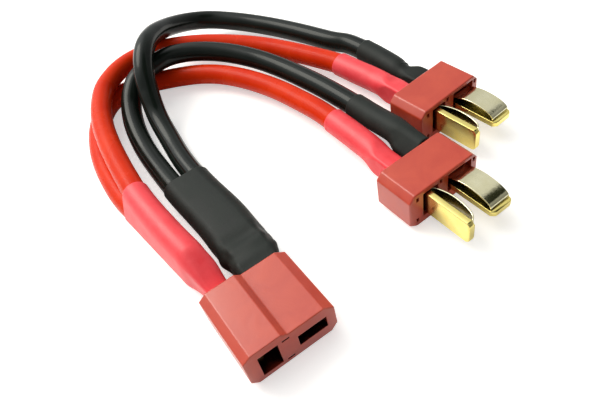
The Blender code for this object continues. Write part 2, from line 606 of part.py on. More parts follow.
def build():
    start_scene()
    nylon = make_material("red_nylon", (0.62, 0.09, 0.06), 0.45)
    gold = make_material("gold_plate", (0.90, 0.68, 0.22), 0.22, 1.0)
    spring_gold = make_material("pale_gold_spring", (0.88, 0.80, 0.55), 0.18, 1.0)
    black_silicone = make_material("black_silicone", (0.015, 0.017, 0.016), 0.32)
    red_silicone = make_material("red_silicone", (0.80, 0.06, 0.02), 0.35)
    black_sleeve = make_material("black_heat_shrink", (0.045, 0.05, 0.045), 0.6)
    red_sleeve = make_material("red_heat_shrink", (0.95, 0.10, 0.13), 0.45)
    tin = make_material("tinned_copper", (0.72, 0.70, 0.66), 0.35, 1.0)
    solder_alloy = make_material("solder", (0.78, 0.78, 0.78), 0.25, 1.0)

    socket_matrix = Matrix.Translation((0.0, SOCKET_LENGTH / 2, 0.0))
    socket_frame = add_frame("socket_frame", socket_matrix)
    socket_housing(socket_frame, nylon)

    wires = {}
    back = (0.0, SOCKET_LENGTH / 2)
    for name, start, route, ending, plug_place, material in (
            ("black_wire_far", BLACK_FAR_START, BLACK_FAR_ROUTE, BLACK_FAR_END, FAR_PLUG_PLACE,
             black_silicone),
            ("black_wire_near", BLACK_NEAR_START, BLACK_NEAR_ROUTE, BLACK_NEAR_END,
             NEAR_PLUG_PLACE, black_silicone),
            ("red_wire_far", RED_FAR_START, RED_FAR_ROUTE, RED_FAR_END, FAR_PLUG_PLACE,
             red_silicone),
            ("red_wire_near", RED_NEAR_START, RED_NEAR_ROUTE, RED_NEAR_END, NEAR_PLUG_PLACE,
             red_silicone)):
        points = moved(start, back) + route + moved(ending, plug_place)
        wires[name] = evenly_spaced(smooth_curve(points), WIRE_POINT_PITCH)
        tube(name, wires[name], WIRE_DIAMETER, WIRE_BEVEL_LEVEL, material)

    joints = []
    for upright, colour, sleeve_material in ((True, "red", red_sleeve),
                                             (False, "black", black_sleeve)):
        name = "socket_" + colour
        place = contact_place(SOCKET_SIDE, upright)
        contact(name + "_contact", STRIP_SETBACK - SOCKET_LENGTH, STRIP_WIDTH, STRIP_LEVEL,
                place, socket_frame, gold)
        pair = [wires[colour + "_wire_near"], wires[colour + "_wire_far"]]
        joint = Joint(socket_frame, socket_matrix, place, STRIP_LEVEL, -1, pair,
                      SOCKET_SLEEVE_LENGTH)
        joints.append((name, joint, sleeve_material))

    for plug, (x, y), turn in (("near", NEAR_PLUG_PLACE, NEAR_PLUG_TURN),
                               ("far", FAR_PLUG_PLACE, FAR_PLUG_TURN)):
        matrix = (Matrix.Translation((x, y, HOUSING_THICKNESS)) @ Matrix.Rotation(turn, 4, "Z")
                  @ Matrix.Rotation(math.pi, 4, "Y"))
        frame = add_frame(plug + "_plug_frame", matrix)
        plug_housing(plug + "_plug_housing", frame, nylon)
        for upright, colour, sleeve_material in ((True, "red", red_sleeve),
                                                 (False, "black", black_sleeve)):
            name = plug + "_" + colour
            place = contact_place(PLUG_SIDE, upright)
            contact(name + "_blade", -PLUG_LENGTH - BLADE_REACH, BLADE_WIDTH, 0.0, place,
                    frame, gold)
            leaf_spring(name + "_spring", place, frame, spring_gold)
            wire = wires[colour + "_wire_" + plug][::-1]
            under = plug == "far" and colour == "black"
            joint = Joint(frame, matrix, place, 0.0, 1 if under else -1, [wire],
                          PLUG_SLEEVE_LENGTH)
            joints.append((name, joint, sleeve_material))

    for name, joint, sleeve_material in joints:
        endings = ("",) if len(joint.wires) == 1 else ("_near", "_far")
        for ending, line in zip(endings, joint.conductor_lines()):
            tube(name + "_conductor" + ending, line, CONDUCTOR_DIAMETER, CONDUCTOR_BEVEL_LEVEL, tin,
                 joint.frame)
        solder(name + "_solder", joint, solder_alloy)
        sleeve(name + "_sleeve", joint, sleeve_material)


build()
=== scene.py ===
"""Parallel battery harness: looks of the flat-blade socket, two plugs and their wiring."""
import math

import bmesh
import bpy
import numpy as np
from mathutils import Matrix, Vector, noise


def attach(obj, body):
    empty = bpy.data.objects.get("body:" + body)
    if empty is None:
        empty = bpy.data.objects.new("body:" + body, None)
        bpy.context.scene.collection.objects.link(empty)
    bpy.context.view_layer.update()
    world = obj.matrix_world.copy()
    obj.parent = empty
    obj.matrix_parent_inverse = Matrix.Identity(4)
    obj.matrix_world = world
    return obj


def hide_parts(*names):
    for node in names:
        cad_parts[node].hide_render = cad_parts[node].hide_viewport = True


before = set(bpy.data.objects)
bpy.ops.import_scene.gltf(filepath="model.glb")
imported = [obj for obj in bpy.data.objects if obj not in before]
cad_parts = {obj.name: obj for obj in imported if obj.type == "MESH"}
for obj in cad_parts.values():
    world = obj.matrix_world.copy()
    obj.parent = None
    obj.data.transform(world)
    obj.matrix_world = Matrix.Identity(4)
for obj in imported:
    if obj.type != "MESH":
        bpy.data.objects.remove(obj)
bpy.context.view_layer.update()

# Camera: above the socket's near corner, looking down on the harness and a little to its
# right, with the horizon tipped so that the socket points to the lower right.
CAMERA_PLACE = Vector((-0.011618, -0.047890, 0.080967))
CAMERA_AIM = Vector((0.274, 0.612, -0.742)).normalized()
CAMERA_RIGHT = Vector((0.812, -0.561, -0.163))
FOCAL_IN_PICTURES = 578.02 / 600    # focal length over the picture's width
SENSOR = 36.0

camera_data = bpy.data.cameras.new("camera")
camera_data.sensor_width = SENSOR
camera_data.lens = SENSOR * FOCAL_IN_PICTURES
camera_data.clip_start = 0.005
camera = bpy.data.objects.new("camera", camera_data)
rightwards = (CAMERA_RIGHT - CAMERA_AIM * CAMERA_RIGHT.dot(CAMERA_AIM)).normalized()
turned = Matrix((rightwards, rightwards.cross(CAMERA_AIM), -CAMERA_AIM)).transposed()
camera.matrix_world = Matrix.Translation(CAMERA_PLACE) @ turned.to_4x4()
bpy.context.scene.collection.objects.link(camera)
bpy.context.scene.camera = camera

# The four wires: fine copper strands in extruded silicone rubber, two black and two red.
# Each leaves the socket's contact inside its sleeve and loops over to one plug's contact.
WIRE_DIAMETER = 0.0045
WIRE_ROUTES = {
    "black_wire_far": (
        (0.0060, 0.0155, 0.0034), (0.0061, 0.0230, 0.0032), (0.0055, 0.0330, 0.0029),
        (0.0056, 0.0420, 0.0026), (0.0064, 0.0501, 0.0027), (0.0072, 0.0570, 0.0042),
        (0.0084, 0.0615, 0.0072), (0.0102, 0.0655, 0.0106), (0.0133, 0.0703, 0.0125),
        (0.0175, 0.0755, 0.0116), (0.0228, 0.0803, 0.0090), (0.0292, 0.0830, 0.0062),
        (0.0348, 0.0820, 0.0044), (0.0400, 0.0767, 0.0035), (0.0445, 0.0693, 0.0031),
        (0.0480, 0.0611, 0.0031), (0.0509, 0.0521, 0.0034), (0.05272, 0.0482, 0.0035),
        (0.05352, 0.0442, 0.0035), (0.05392, 0.0402, 0.0034), (0.05412, 0.0362, 0.0034),
        (0.05422, 0.0312, 0.0033)),
    "black_wire_near": (
        (0.0014, 0.0155, 0.0033), (0.0014, 0.0230, 0.0030), (0.0008, 0.0330, 0.0029),
        (0.0007, 0.0430, 0.0025), (0.0010, 0.0514, 0.0024), (0.0020, 0.0585, 0.0031),
        (0.0037, 0.0636, 0.0044), (0.0061, 0.0672, 0.0060), (0.0090, 0.0697, 0.0070),
        (0.0130, 0.0713, 0.0071), (0.0172, 0.0718, 0.0071), (0.0212, 0.0706, 0.0069),
        (0.0250, 0.0682, 0.0065), (0.0284, 0.0650, 0.0060), (0.0314, 0.0610, 0.0055),
        (0.0340, 0.0562, 0.0050), (0.0360, 0.0505, 0.0047), (0.0375, 0.0440, 0.0046),
        (0.0386, 0.0375, 0.0046), (0.0394, 0.0303, 0.0046), (0.0398, 0.0228, 0.0048),
        (0.0399, 0.0165, 0.0056)),
    "red_wire_far": (
        (-0.0049, 0.0155, 0.00735), (-0.0057, 0.0230, 0.00735), (-0.0063, 0.0330, 0.00725),
        (-0.0060, 0.0410, 0.0071), (-0.0055, 0.0475, 0.0071), (-0.0048, 0.0535, 0.0071),
        (-0.0037, 0.0595, 0.0071), (-0.0018, 0.0655, 0.0071), (0.0012, 0.0715, 0.0070),
        (0.0052, 0.0752, 0.0070), (0.0092, 0.0772, 0.0069), (0.0133, 0.0778, 0.0067),
        (0.0175, 0.0777, 0.0062), (0.0222, 0.0765, 0.0055), (0.0270, 0.0738, 0.0049),
        (0.0310, 0.0706, 0.0044), (0.0345, 0.0671, 0.0040), (0.0378, 0.0629, 0.0037),
        (0.0404, 0.0583, 0.0036), (0.0427, 0.0530, 0.0037), (0.04472, 0.0475, 0.0039),
        (0.04622, 0.0430, 0.0040), (0.04702, 0.0384, 0.0040), (0.04782, 0.0340, 0.0040),
        (0.04832, 0.0307, 0.0040)),
    "red_wire_near": (
        (-0.0053, 0.0155, 0.00275), (-0.0062, 0.0230, 0.00275), (-0.0074, 0.0330, 0.00275),
        (-0.0084, 0.0410, 0.0025), (-0.0083, 0.0485, 0.0024), (-0.0076, 0.0548, 0.0024),
        (-0.0064, 0.0600, 0.0024), (-0.0045, 0.0652, 0.0024), (-0.0018, 0.0696, 0.0024),
        (0.0012, 0.0726, 0.0024), (0.0046, 0.0739, 0.0024), (0.0082, 0.0737, 0.0024),
        (0.0118, 0.0726, 0.0024), (0.0150, 0.0710, 0.0024), (0.0182, 0.0688, 0.0026),
        (0.0220, 0.0655, 0.0029), (0.0253, 0.0613, 0.0032), (0.0280, 0.0563, 0.0034),
        (0.0302, 0.0508, 0.0035), (0.0318, 0.0453, 0.0036), (0.0329, 0.0392, 0.0038),
        (0.0337, 0.0328, 0.0041), (0.0340, 0.0253, 0.0043), (0.0342, 0.0164, 0.0043)),
}
WIRE_SAMPLES = 24       # points on the curve between two route points
WIRE_RING_PITCH = 0.0005
WIRE_RING_SIDES = 40
WIRE_RIPPLE = 0.006         # the most that it thins, as a share of its radius
WIRE_RIPPLE_LENGTH = 0.00625
BLOOM_PATCH = 0.00588       # width of a patch of the silicone's bloom
DUST_SPECK = 0.0003125      # and of a speck, coarser than real dust so that it shows


def hex_colour(text):
    """Linear colour of an sRGB hex value such as '#D25848'."""
    channels = [int(text[place:place + 2], 16) / 255 for place in (1, 3, 5)]
    return (*[c / 12.92 if c <= 0.04045 else ((c + 0.055) / 1.055) ** 2.4 for c in channels], 1.0)


def add_node(tree, kind, feeds=None, **settings):
    """Add a node with its own settings; feeds gives each socket a value or what it reads."""
    node = tree.nodes.new(kind)
    for key, value in settings.items():
        setattr(node, key, value)
    for key, value in (feeds or {}).items():
        if isinstance(value, bpy.types.NodeSocket):
            tree.links.new(value, node.inputs[key])
        else:
            node.inputs[key].default_value = value
    return node


def start_material(name):
    """A material with only its Principled shader and output, as (material, tree, shader)."""
    material = bpy.data.materials.new(name)
    material.use_nodes = True
    tree = material.node_tree
    return material, tree, tree.nodes["Principled BSDF"]


def silicone(name, deep, pale, shine, satin):
    """Extruded silicone rubber: softly glossy with a faint bloom; satin is its least roughness."""
    material, tree, shader = start_material(name)
    place = add_node(tree, "ShaderNodeTexCoord").outputs["Object"]
    bloom = add_node(tree, "ShaderNodeTexNoise", {
        "Vector": place, "Scale": 1 / BLOOM_PATCH, "Detail": 3.0, "Roughness": 0.5})
    dust = add_node(tree, "ShaderNodeTexNoise", {
        "Vector": place, "Scale": 1 / DUST_SPECK, "Detail": 2.0, "Roughness": 0.5})
    tint = add_node(tree, "ShaderNodeValToRGB", {"Fac": bloom.outputs["Fac"]})
    tint.color_ramp.elements[0].position = 0.3
    tint.color_ramp.elements[0].color = hex_colour(deep)
    tint.color_ramp.elements[1].position = 0.7
    tint.color_ramp.elements[1].color = hex_colour(pale)
    tree.links.new(tint.outputs["Color"], shader.inputs["Base Color"])
    rough = add_node(tree, "ShaderNodeMapRange", {
        "Value": bloom.outputs["Fac"], "From Min": 0.3, "From Max": 0.7,
        "To Min": satin, "To Max": satin + 0.08})
    tree.links.new(rough.outputs["Result"], shader.inputs["Roughness"])
    swell = add_node(tree, "ShaderNodeBump", {
        "Height": bloom.outputs["Fac"], "Strength": 0.05, "Distance": 0.0002})
    grain = add_node(tree, "ShaderNodeBump", {
        "Height": dust.outputs["Fac"], "Strength": 0.05, "Distance": 0.00004,
        "Normal": swell.outputs["Normal"]})
    tree.links.new(grain.outputs["Normal"], shader.inputs["Normal"])
    shader.inputs["IOR"].default_value = 1.43
    shader.inputs["Specular IOR Level"].default_value = shine
    return material


def start_tree(name, sizes, material_name=None):
    """A Geometry Nodes tree with an input for each size and a material, as (tree, inputs)."""
    tree = bpy.data.node_groups.new(name, "GeometryNodeTree")
    sockets = tree.interface
    sockets.new_socket("Geometry", in_out="INPUT", socket_type="NodeSocketGeometry")
    for label, value in sizes.items():
        size = sockets.new_socket(label, in_out="INPUT", socket_type="NodeSocketFloat")
        size.default_value = value
    if material_name:
        sockets.new_socket(material_name, in_out="INPUT", socket_type="NodeSocketMaterial")
    sockets.new_socket("Geometry", in_out="OUTPUT", socket_type="NodeSocketGeometry")
    return tree, add_node(tree, "NodeGroupInput").outputs


def end_tree(tree, mesh, material):
    """Shade a tree's mesh smooth, make its instances real and give it its material."""
    smooth = add_node(tree, "GeometryNodeSetShadeSmooth", {"Geometry": mesh})
    real = add_node(tree, "GeometryNodeRealizeInstances", {"Geometry": smooth.outputs["Geometry"]})
    coat = add_node(tree, "GeometryNodeSetMaterial", {
        "Geometry": real.outputs["Geometry"], "Material": material})
    add_node(tree, "NodeGroupOutput", {"Geometry": coat.outputs["Geometry"]})


def wire_tree():
    """Route of points in, round insulated wire out, with the slight ripple of extrusion."""
    tree, given = start_tree("insulated_wire", {
        "Diameter": WIRE_DIAMETER, "Ring Pitch": WIRE_RING_PITCH, "Ripple": WIRE_RIPPLE,
        "Seed": 0.0}, "Insulation")
    line = add_node(tree, "GeometryNodeMeshToCurve", {"Mesh": given["Geometry"]})
    even = add_node(tree, "GeometryNodeResampleCurve", {
        "Curve": line.outputs["Curve"], "Length": given["Ring Pitch"]}, mode="LENGTH")
    ripple = add_node(tree, "ShaderNodeTexNoise", {
        "W": given["Seed"], "Scale": 1 / WIRE_RIPPLE_LENGTH, "Detail": 1.0},
        noise_dimensions="4D")
    thinnest = add_node(tree, "ShaderNodeMath", {0: 1.0, 1: given["Ripple"]}, operation="SUBTRACT")
    swing = add_node(tree, "ShaderNodeMapRange", {
        "Value": ripple.outputs["Fac"], "To Min": thinnest.outputs["Value"], "To Max": 1.0})
    half = add_node(tree, "ShaderNodeMath", {0: given["Diameter"], 1: 0.5}, operation="MULTIPLY")
    ring = add_node(tree, "GeometryNodeCurvePrimitiveCircle", {
        "Resolution": WIRE_RING_SIDES, "Radius": half.outputs["Value"]})
    tube = add_node(tree, "GeometryNodeCurveToMesh", {
        "Curve": even.outputs["Curve"], "Profile Curve": ring.outputs["Curve"],
        "Scale": swing.outputs["Result"], "Fill Caps": True})
    end_tree(tree, tube.outputs["Mesh"], given["Insulation"])
    return tree


def smooth_curve(route):
    """Catmull-Rom curve through the route's points."""
    points = [Vector(point) for point in route]
    points = [2 * points[0] - points[1], *points, 2 * points[-1] - points[-2]]
    curve = []
    for a, b, c, d in zip(points, points[1:], points[2:], points[3:]):
        for step in range(WIRE_SAMPLES):
            t = step / WIRE_SAMPLES
            curve.append(0.5 * (2 * b + (c - a) * t + (2 * a - 5 * b + 4 * c - d) * t ** 2
                                + (3 * b - a - 3 * c + d) * t ** 3))
    curve.append(points[-2])
    return curve


def grow_along(name, line, tree, values):
    """Run a Geometry Nodes tree on a line of points; its result as a plain mesh object."""
    mesh = bpy.data.meshes.new(name + "_line")
    mesh.from_pydata(line, [(i, i + 1) for i in range(len(line) - 1)], [])
    worker = bpy.data.objects.new(name + "_worker", mesh)
    bpy.context.scene.collection.objects.link(worker)
    nodes = worker.modifiers.new("grow", "NODES")
    nodes.node_group = tree
    for item in tree.interface.items_tree:
        if item.in_out == "INPUT" and item.name in values:
            nodes[item.identifier] = values[item.name]
    bpy.context.view_layer.update()
    shown = worker.evaluated_get(bpy.context.evaluated_depsgraph_get())
    grown = bpy.data.meshes.new_from_object(shown)
    worker.modifiers.remove(nodes)
    bpy.data.objects.remove(worker, do_unlink=True)
    return finished(name, grown)


def finished(name, mesh):
    """Weld a mesh, turn its faces outwards and show it as an object at the origin."""
    welded = bmesh.new()
    welded.from_mesh(mesh)
    bmesh.ops.remove_doubles(welded, verts=welded.verts, dist=1e-7)
    bmesh.ops.recalc_face_normals(welded, faces=welded.faces)
    welded.to_mesh(mesh)
    welded.free()
    mesh.name = name
    piece = bpy.data.objects.new(name, mesh)
    bpy.context.scene.collection.objects.link(piece)
    return piece


black_silicone = silicone("extruded_silicone_black", "#0F1511", "#181F1A", 0.24, 0.16)
red_silicone = silicone("extruded_silicone_red", "#D52B08", "#E1380F", 0.12, 0.22)
wire_lines = {}
insulated_wire = wire_tree()
for name, route in WIRE_ROUTES.items():
    red = name.startswith("red")
    wire_lines[name] = smooth_curve(route)
    wire = grow_along("silicone_" + name, wire_lines[name], insulated_wire, {
        "Diameter": WIRE_DIAMETER, "Insulation": red_silicone if red else black_silicone,
        "Seed": float(len(wire_lines))})
    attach(wire, "root")
    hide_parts(name)

# Heat-shrink sleeves: thin polyolefin tube shrunk with hot air over each soldered tab and
# on over the insulation. It keeps the outline of what is under it, with softened corners.
HOUSING_THICKNESS = 0.0080
SLEEVE_WALL = 0.00030
SLEEVE_SIDES = 96
SLEEVE_STEP = 0.00025
SLEEVE_START = 0.0003       # behind the housing's back face
INSULATION_START = 0.0088   # behind it too, just past the insulation's cut end
SLEEVE_SOFTNESS = 3         # stations over which an outline blends into the next
NECK_RUN = 0.0024           # from a sleeve's last given outline to where it follows its wires
CREASE_MIDDLE = 0.005       # creases lie where the tube had the most to shrink, over the tab
CREASE_RUN = 0.0040
CREASES_PER_METRE = 420.0
CREASE_STRETCH = 0.8        # along the tube
CREASE_SHIFT = 7.3          # between the creases of one sleeve and the next
SKIN_WAVE = 0.00002
RIM_ANGLES = (0.8, math.pi / 2, 2.3)    # round the rolled rim, from the outer skin
# Each housing's frame is at its back face; the plugs lie upside down
SOCKET_FRAME = Matrix.Translation((0.0, 0.0068, 0.0))
NEAR_FRAME = (Matrix.Translation((0.0364, 0.0084, HOUSING_THICKNESS))
              @ Matrix.Rotation(math.radians(2.2), 4, "Z") @ Matrix.Rotation(math.pi, 4, "Y"))
FAR_FRAME = (Matrix.Translation((0.05142, 0.0229, HOUSING_THICKNESS))
             @ Matrix.Rotation(math.radians(5.4), 4, "Z") @ Matrix.Rotation(math.pi, 4, "Y"))
# Discs (x, z, radius, in mm) that the tube goes round where it holds a contact's tab
RED_TAB = ((-5.40, 2.0, 0.35), (-5.40, 5.4, 0.35), (-3.50, 2.7, 0.95), (-3.50, 4.7, 0.95))
UPRIGHT_TAB = ((3.30, 1.95, 0.3), (4.10, 1.95, 0.3), (3.30, 5.45, 0.3), (4.10, 5.45, 0.3))
FLAT_TAB = ((-5.45, 3.30, 0.3), (-1.95, 3.30, 0.3), (-5.45, 4.10, 0.3), (-1.95, 4.10, 0.3))
# Each sleeve: its frame, length, wires, the depth of its creases, and the discs that its
# outline goes round at each place (mm behind the housing); after the last place it follows
# its wires
SLEEVES = {
    "socket_red_sleeve": (SOCKET_FRAME, 0.0290, ("red_wire_near", "red_wire_far"), 0.00012, (
        (0.3, RED_TAB),
        (2.6, ((-5.4, 2.0, 0.5), (-5.4, 6.2, 0.6), (-3.6, 2.6, 1.1), (-3.7, 5.7, 1.1))),
        (5.6, ((-5.4, 2.3, 1.1), (-5.2, 6.9, 1.4), (-4.0, 2.5, 1.5), (-4.0, 6.7, 1.6))))),
    "socket_black_sleeve": (SOCKET_FRAME, 0.0290, ("black_wire_near", "black_wire_far"), 0.00080, (
        (0.3, ((1.1, 2.3, 0.8), (5.6, 2.3, 0.8), (1.0, 5.1, 0.8), (5.7, 5.1, 0.8))),
        (1.3, ((0.9, 2.3, 0.9), (6.5, 2.3, 0.9), (0.9, 5.1, 0.9), (6.7, 4.8, 0.9))),
        (2.4, ((0.8, 2.2, 1.0), (6.0, 2.2, 0.9), (0.8, 5.1, 0.9), (6.0, 5.1, 0.9))),
        (3.5, ((0.8, 2.5, 1.3), (6.9, 2.5, 1.4), (0.9, 4.8, 1.2), (7.0, 4.6, 1.4))),
        (4.5, ((0.8, 2.7, 1.6), (6.1, 2.7, 1.4), (1.0, 4.5, 1.4), (6.2, 4.5, 1.4))),
        (5.8, ((0.8, 3.0, 1.9), (6.5, 3.0, 1.9), (1.0, 4.0, 1.7), (6.5, 4.0, 1.8))))),
    "near_red_sleeve": (NEAR_FRAME, 0.0200, ("red_wire_near",), 0.00012, (
        (0.3, UPRIGHT_TAB + ((1.875, 3.7, 1.6),)),
        (5.0, UPRIGHT_TAB + ((1.875, 3.7, 1.7),)),
        (6.8, ((2.2, 3.7, 2.3),)))),
    "near_black_sleeve": (NEAR_FRAME, 0.0200, ("black_wire_near",), 0.00010, (
        (0.3, FLAT_TAB + ((-3.7, 1.875, 1.6), (-1.6, 3.4, 1.1))),
        (5.0, FLAT_TAB + ((-3.7, 1.9, 1.7), (-1.9, 3.2, 1.3))),
        (6.8, ((-3.7, 2.3, 2.25),)))),
    "far_red_sleeve": (FAR_FRAME, 0.0200, ("red_wire_far",), 0.00016, (
        (0.3, UPRIGHT_TAB + ((1.875, 3.7, 1.6),)),
        (5.0, UPRIGHT_TAB + ((1.875, 3.7, 1.7),)),
        (6.8, ((2.5, 3.8, 2.2),)))),
    "far_black_sleeve": (FAR_FRAME, 0.0200, ("black_wire_far",), 0.00010, (
        (0.3, FLAT_TAB + ((-3.7, 5.525, 1.6),)),
        (5.0, FLAT_TAB + ((-3.7, 5.525, 1.6),)),
        (6.7, ((-3.3, 4.9, 1.65),)))),
}
SLEEVE_ANGLES = np.linspace(0.0, 2 * math.pi, SLEEVE_SIDES, endpoint=False)
SLEEVE_DIRECTIONS = np.stack([np.cos(SLEEVE_ANGLES), np.sin(SLEEVE_ANGLES)], axis=1)


def reach_of(discs):
    """How far a set of (x, z, radius) discs reaches in each direction."""
    discs = np.array(discs)
    return (SLEEVE_DIRECTIONS @ discs[:, :2].T + discs[:, 2]).max(axis=1)


def wire_disc(line, y):
    """Disc where an insulated wire crosses the plane at y."""
    for before, after in zip(line, line[1:]):
        if after.y >= y:
            point = before.lerp(after, (y - before.y) / (after.y - before.y))
            break
    else:
        point = line[-1]
    return (point.x, point.z, WIRE_DIAMETER / 2)


def sleeve_reaches(place, length, wires, outlines):
    """Stations along a sleeve and how far it reaches at each, before it relaxes."""
    # each wire's points from this end on, in the housing's frame
    to_frame = place.inverted()
    lines = []
    for name in wires:
        line = [to_frame @ point for point in wire_lines[name]]
        lines.append(line if place == SOCKET_FRAME else line[::-1])
    stations = np.arange(SLEEVE_START, length, SLEEVE_STEP)
    keys = [outline[0] / 1000 for outline in outlines]
    shapes = [reach_of(np.array(outline[1]) / 1000) for outline in outlines]
    last, neck = keys[-1], keys[-1] + NECK_RUN
    reaches = []
    for y in stations:
        on_wires = reach_of([wire_disc(line, max(y, INSULATION_START)) for line in lines])
        if y >= neck:
            reaches.append(on_wires)
            continue
        if y >= last:
            low, high, start, end = shapes[-1], on_wires, last, neck
        else:
            index = max(0, np.searchsorted(keys, y) - 1)
            low, high = shapes[index], shapes[index + 1]
            start, end = keys[index], keys[index + 1]
        reaches.append(low + (high - low) * (y - start) / (end - start))
    return stations, np.array(reaches)


def relaxed(reaches, width):
    """Reaches softened along the sleeve, over width stations to each side."""
    weights = np.exp(-0.5 * (np.arange(-3 * width, 3 * width + 1) / width) ** 2)
    weights /= weights.sum()
    padded = np.concatenate([np.repeat(reaches[:1], 3 * width, axis=0), reaches,
                             np.repeat(reaches[-1:], 3 * width, axis=0)])
    return sum(weight * padded[index:index + len(reaches)]
               for index, weight in enumerate(weights))


def sleeve_mesh(name, place, length, wires, crease_depth, outlines, seed):
    """Closed shell: outer skin, rolled rims and the inner skin a wall's thickness inside."""
    stations, reaches = sleeve_reaches(place, length, wires, outlines)
    reaches = relaxed(reaches, SLEEVE_SOFTNESS) + SLEEVE_WALL
    # the tube touches what it goes round at its reach, moved sideways by the reach's slope
    two_sides = 4 * math.pi / SLEEVE_SIDES
    slope = (np.roll(reaches, -1, axis=1) - np.roll(reaches, 1, axis=1)) / two_sides
    across = np.stack([-np.sin(SLEEVE_ANGLES), np.cos(SLEEVE_ANGLES)], axis=1)
    rings = reaches[:, :, None] * SLEEVE_DIRECTIONS + slope[:, :, None] * across
    middles = rings.mean(axis=1)
    outer = []
    for y, ring, middle in zip(stations, rings, middles):
        crease = crease_depth * math.exp(-((y - CREASE_MIDDLE) / CREASE_RUN) ** 2) + SKIN_WAVE
        moved = []
        for (x, z), (nx, nz) in zip(ring, SLEEVE_DIRECTIONS):
            point = Vector((x - middle[0], y * CREASE_STRETCH, z - middle[1])) * CREASES_PER_METRE
            push = noise.noise(point + Vector((seed * CREASE_SHIFT, 0.0, 0.0))) * crease
            moved.append((x + nx * push, y, z + nz * push))
        outer.append(moved)

    def inset(ring, depth, shift):
        """A loop drawn in by a depth and moved along the tube."""
        return [(x - nx * depth, y + shift, z - nz * depth)
                for (x, y, z), (nx, nz) in zip(ring, SLEEVE_DIRECTIONS)]

    half = SLEEVE_WALL / 2
    rim = [(half * (1 - math.cos(angle)), half * math.sin(angle)) for angle in RIM_ANGLES]
    loops = list(outer)
    loops += [inset(outer[-1], depth, shift) for depth, shift in rim]
    # the inner skin has a quarter of the outer one's loops
    loops += [inset(ring, SLEEVE_WALL, 0.0) for ring in outer[::-4]]
    loops.append(inset(outer[0], SLEEVE_WALL, 0.0))
    loops += [inset(outer[0], depth, -shift / 2) for depth, shift in rim[::-1]]
    points = [place @ Vector(point) for loop in loops for point in loop]
    faces = []
    for row in range(len(loops)):
        following = (row + 1) % len(loops)
        for column in range(SLEEVE_SIDES):
            beside = (column + 1) % SLEEVE_SIDES
            faces.append((row * SLEEVE_SIDES + column, following * SLEEVE_SIDES + column,
                          following * SLEEVE_SIDES + beside, row * SLEEVE_SIDES + beside))
    mesh = bpy.data.meshes.new(name)
    mesh.from_pydata(points, [], faces)
    mesh.shade_smooth()
    # the material's lines run along the tube, so each point keeps its place on it
    lay = []
    for loop in loops:
        middle = np.mean(loop, axis=0)
        for x, y, z in loop:
            lay += (x - middle[0], z - middle[2], y)
    mesh.attributes.new("lay", "FLOAT_VECTOR", "POINT").data.foreach_set("vector", lay)
    return mesh


DRAWN_WIDTH = 0.000714      # of the lines that shrinking draws out along the tube
DRAWN_LENGTH = 0.0111
SCUFF_PATCH = 0.00333


def heat_shrink(name, deep, pale, rough_level, shine):
    """Shrunk polyolefin: satin, drawn out along the tube, scuffed where it was handled."""
    material, tree, shader = start_material(name)
    lay = add_node(tree, "ShaderNodeAttribute", attribute_name="lay").outputs["Vector"]
    drawn = add_node(tree, "ShaderNodeMapping", {
        "Vector": lay, "Scale": (1 / DRAWN_WIDTH, 1 / DRAWN_WIDTH, 1 / DRAWN_LENGTH)})
    lines = add_node(tree, "ShaderNodeTexNoise", {
        "Vector": drawn.outputs["Vector"], "Scale": 1.0, "Detail": 4.0, "Roughness": 0.6})
    place = add_node(tree, "ShaderNodeTexCoord").outputs["Object"]
    patches = add_node(tree, "ShaderNodeTexNoise", {
        "Vector": place, "Scale": 1 / SCUFF_PATCH, "Detail": 5.0, "Roughness": 0.65})
    tint = add_node(tree, "ShaderNodeValToRGB", {"Fac": patches.outputs["Fac"]})
    tint.color_ramp.elements[0].position = 0.3
    tint.color_ramp.elements[0].color = hex_colour(deep)
    tint.color_ramp.elements[1].position = 0.7
    tint.color_ramp.elements[1].color = hex_colour(pale)
    tree.links.new(tint.outputs["Color"], shader.inputs["Base Color"])
    rough = add_node(tree, "ShaderNodeMapRange", {
        "Value": patches.outputs["Fac"], "From Min": 0.3, "From Max": 0.7,
        "To Min": rough_level - 0.06, "To Max": rough_level + 0.06})
    tree.links.new(rough.outputs["Result"], shader.inputs["Roughness"])
    ridges = add_node(tree, "ShaderNodeBump", {
        "Height": lines.outputs["Fac"], "Strength": 0.18, "Distance": 0.00006})
    dents = add_node(tree, "ShaderNodeBump", {
        "Height": patches.outputs["Fac"], "Strength": 0.25, "Distance": 0.00025,
        "Normal": ridges.outputs["Normal"]})
    tree.links.new(dents.outputs["Normal"], shader.inputs["Normal"])
    shader.inputs["IOR"].default_value = 1.5
    shader.inputs["Specular IOR Level"].default_value = shine
    return material


black_shrink = heat_shrink("shrunk_polyolefin_black", "#191D1A", "#262B27", 0.55, 0.20)
red_shrink = heat_shrink("shrunk_polyolefin_red", "#F23941", "#FB4C53", 0.42, 0.45)
for seed, (name, (place, length, wires, depth, outlines)) in enumerate(SLEEVES.items()):
    red = "red" in name
    mesh = sleeve_mesh(name, place, length, wires, depth, outlines, seed)
    sleeve = finished("shrunk_" + name, mesh)
    sleeve.data.materials.append(red_shrink if red else black_shrink)
    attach(sleeve, "root")
    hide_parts(name)

# Stripped ends and solder: tinned copper strands laid on each tab under a solder fillet.
# They are inside the sleeves, and show only where a sleeve is cut away.
STRAND_RIDGE = 0.0005       # coarser than the 0.08 mm strands so that it shows
TARNISH_PATCH = 0.00143
SOLDER_RIPPLE = 0.00111


